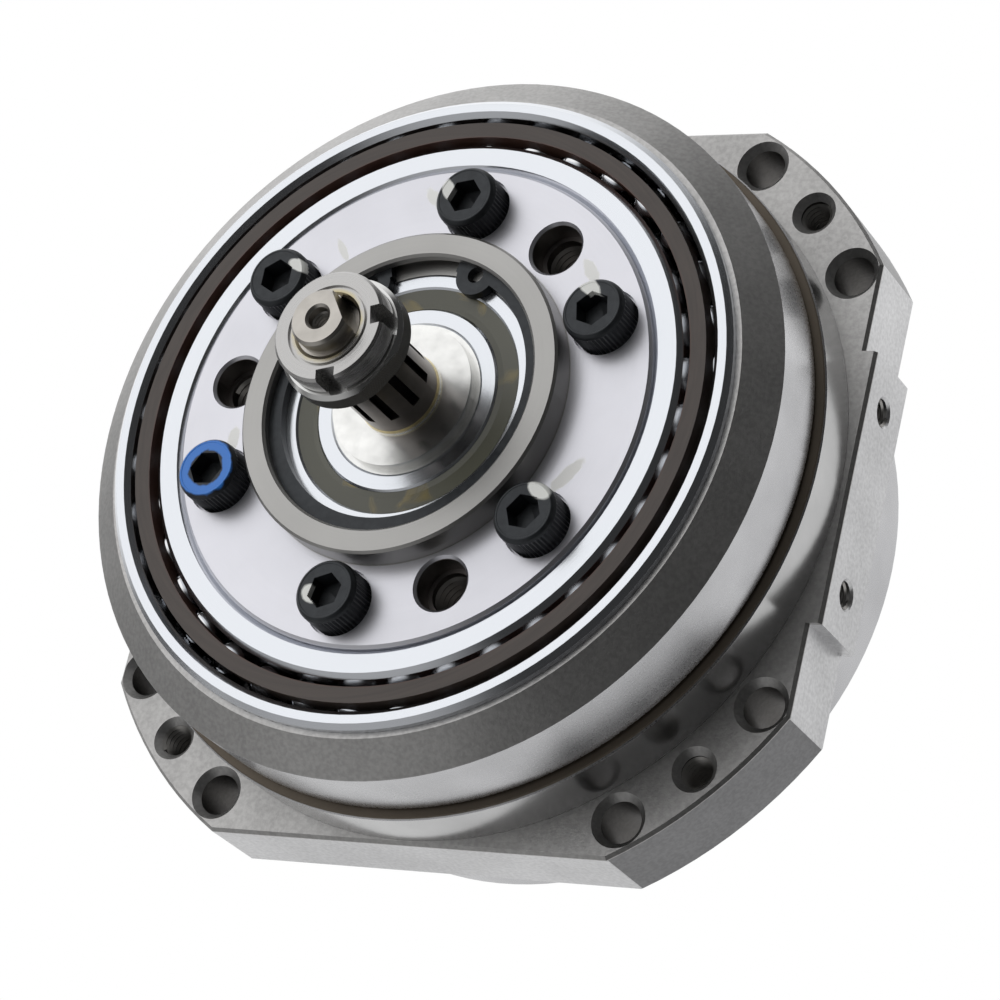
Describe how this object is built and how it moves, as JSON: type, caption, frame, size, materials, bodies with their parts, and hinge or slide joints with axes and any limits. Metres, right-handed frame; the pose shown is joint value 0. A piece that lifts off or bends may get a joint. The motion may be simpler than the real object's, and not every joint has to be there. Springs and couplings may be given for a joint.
{
  "type": "cycloidal reducer",
  "caption": "Compact cycloidal speed reducer: lobed mounting flange, stepped round case, bearing-mounted carrier with raised hub, and splined input shaft with collar and lock nut.",
  "frame": {"origin": "on the reducer's axis, at the rear face of the case, which is the bottom centre of the whole object", "axes": "+Z along the axis from the rear face towards the input shaft; +X and +Y square to the flange's flats, with the padded flats on X"},
  "size_m": [0.1226, 0.1214, 0.0891],
  "materials": {
    "case_steel": "machined and bead-blasted steel, ground registers",
    "bearing_steel": "ground and superfinished bearing steel",
    "ball_steel": "polished bearing steel",
    "brown_cage": "fabric-reinforced phenolic resin",
    "pressed_cage": "pressed and machined brass",
    "seal_rubber": "oiled nitrile rubber",
    "carrier_steel": "fine turned steel",
    "disc_steel": "hardened and ground steel",
    "shaft_steel": "hardened and ground steel, polished root disc",
    "black_oxide": "black oxide",
    "nut_steel": "turned steel",
    "spring_steel": "drawn spring wire"
  },
  "bodies": {
    "case": {"case": "case_steel", "ring_pins": "ball_steel", "main_outer_ring_front": "bearing_steel", "main_outer_ring_rear": "bearing_steel", "output_oil_seal": "seal_rubber", "seal_garter_spring": "spring_steel"},
    "carrier": {"front_carrier": "carrier_steel", "rear_carrier": "carrier_steel", "carrier_sleeves": "ball_steel", "carrier_bolt_set": "black_oxide", "main_inner_ring_front": "bearing_steel", "main_inner_ring_rear": "bearing_steel", "shaft_outer_ring_front": "bearing_steel", "shaft_outer_ring_rear": "bearing_steel", "shaft_seal": "seal_rubber", "front_retaining_ring": "spring_steel", "rear_retaining_ring": "black_oxide", "rear_cap": "carrier_steel"},
    "input_shaft": {"input_shaft": "shaft_steel", "shaft_collar": "black_oxide", "lock_nut": "nut_steel", "shaft_inner_ring_front": "bearing_steel", "shaft_inner_ring_rear": "bearing_steel", "guide_washers": "disc_steel"},
    "cycloid_disc_rear": {"cycloid_disc_rear": "disc_steel"},
    "cycloid_disc_front": {"cycloid_disc_front": "disc_steel"},
    "main_cage_front": {"main_cage_front": "brown_cage", "main_balls_front": "ball_steel"},
    "main_cage_rear": {"main_cage_rear": "brown_cage", "main_balls_rear": "ball_steel"},
    "shaft_cage_front": {"shaft_cage_front": "pressed_cage", "shaft_balls_front": "ball_steel"},
    "shaft_cage_rear": {"shaft_cage_rear": "pressed_cage", "shaft_balls_rear": "ball_steel"},
    "needle_cage_rear": {"needle_cage_rear": "pressed_cage", "needles_rear": "ball_steel"},
    "needle_cage_front": {"needle_cage_front": "pressed_cage", "needles_front": "ball_steel"},
    "output_roller_1": {"output_roller_1": "ball_steel"},
    "output_roller_2": {"output_roller_2": "ball_steel"},
    "output_roller_3": {"output_roller_3": "ball_steel"},
    "output_roller_4": {"output_roller_4": "ball_steel"},
    "output_roller_5": {"output_roller_5": "ball_steel"},
    "output_roller_6": {"output_roller_6": "ball_steel"}
  },
  "joints": [
    {"name": "output_spin", "type": "hinge", "parent": "case", "child": "carrier", "pos_m": [0, 0, 0], "axis": [0, 0, 1], "continuous": true},
    {"name": "input_spin", "type": "hinge", "parent": "case", "child": "input_shaft", "pos_m": [0, 0, 0], "axis": [0, 0, 1], "continuous": true},
    {"name": "disc_rear_spin", "type": "hinge", "parent": "input_shaft", "child": "cycloid_disc_rear", "pos_m": [0.001, 0, 0.0296], "axis": [0, 0, 1], "continuous": true},
    {"name": "disc_front_spin", "type": "hinge", "parent": "input_shaft", "child": "cycloid_disc_front", "pos_m": [-0.001, 0, 0.0406], "axis": [0, 0, 1], "continuous": true},
    {"name": "main_cage_front_spin", "type": "hinge", "parent": "case", "child": "main_cage_front", "pos_m": [0, 0, 0], "axis": [0, 0, 1], "continuous": true},
    {"name": "main_cage_rear_spin", "type": "hinge", "parent": "case", "child": "main_cage_rear", "pos_m": [0, 0, 0], "axis": [0, 0, 1], "continuous": true},
    {"name": "shaft_cage_front_spin", "type": "hinge", "parent": "carrier", "child": "shaft_cage_front", "pos_m": [0, 0, 0], "axis": [0, 0, 1], "continuous": true},
    {"name": "shaft_cage_rear_spin", "type": "hinge", "parent": "carrier", "child": "shaft_cage_rear", "pos_m": [0, 0, 0], "axis": [0, 0, 1], "continuous": true},
    {"name": "needle_cage_rear_spin", "type": "hinge", "parent": "input_shaft", "child": "needle_cage_rear", "pos_m": [0.001, 0, 0.0296], "axis": [0, 0, 1], "continuous": true},
    {"name": "needle_cage_front_spin", "type": "hinge", "parent": "input_shaft", "child": "needle_cage_front", "pos_m": [-0.001, 0, 0.0406], "axis": [0, 0, 1], "continuous": true},
    {"name": "roller_1_spin", "type": "hinge", "parent": "carrier", "child": "output_roller_1", "pos_m": [0.03015, 0.01342, 0.0351], "axis": [0, 0, 1], "continuous": true},
    {"name": "roller_2_spin", "type": "hinge", "parent": "carrier", "child": "output_roller_2", "pos_m": [0.00345, 0.03282, 0.0351], "axis": [0, 0, 1], "continuous": true},
    {"name": "roller_3_spin", "type": "hinge", "parent": "carrier", "child": "output_roller_3", "pos_m": [-0.0267, 0.0194, 0.0351], "axis": [0, 0, 1], "continuous": true},
    {"name": "roller_4_spin", "type": "hinge", "parent": "carrier", "child": "output_roller_4", "pos_m": [-0.03015, -0.01342, 0.0351], "axis": [0, 0, 1], "continuous": true},
    {"name": "roller_5_spin", "type": "hinge", "parent": "carrier", "child": "output_roller_5", "pos_m": [-0.00345, -0.03282, 0.0351], "axis": [0, 0, 1], "continuous": true},
    {"name": "roller_6_spin", "type": "hinge", "parent": "carrier", "child": "output_roller_6", "pos_m": [0.0267, -0.0194, 0.0351], "axis": [0, 0, 1], "continuous": true}
  ],
  "couplings": [
    {"joint": "input_spin", "follows": "output_spin", "ratio": -39},
    {"joint": "disc_rear_spin", "follows": "output_spin", "ratio": 40},
    {"joint": "disc_front_spin", "follows": "output_spin", "ratio": 40},
    {"joint": "main_cage_front_spin", "follows": "output_spin", "ratio": 0.46182},
    {"joint": "main_cage_rear_spin", "follows": "output_spin", "ratio": 0.46182},
    {"joint": "shaft_cage_front_spin", "follows": "output_spin", "ratio": -17.158},
    {"joint": "shaft_cage_rear_spin", "follows": "output_spin", "ratio": -17.158},
    {"joint": "needle_cage_rear_spin", "follows": "output_spin", "ratio": 21.875},
    {"joint": "needle_cage_front_spin", "follows": "output_spin", "ratio": 21.875},
    {"joint": "roller_1_spin", "follows": "output_spin", "ratio": 5.3333},
    {"joint": "roller_2_spin", "follows": "output_spin", "ratio": 5.3333},
    {"joint": "roller_3_spin", "follows": "output_spin", "ratio": 5.3333},
    {"joint": "roller_4_spin", "follows": "output_spin", "ratio": 5.3333},
    {"joint": "roller_5_spin", "follows": "output_spin", "ratio": 5.3333},
    {"joint": "roller_6_spin", "follows": "output_spin", "ratio": 5.3333}
  ]
}
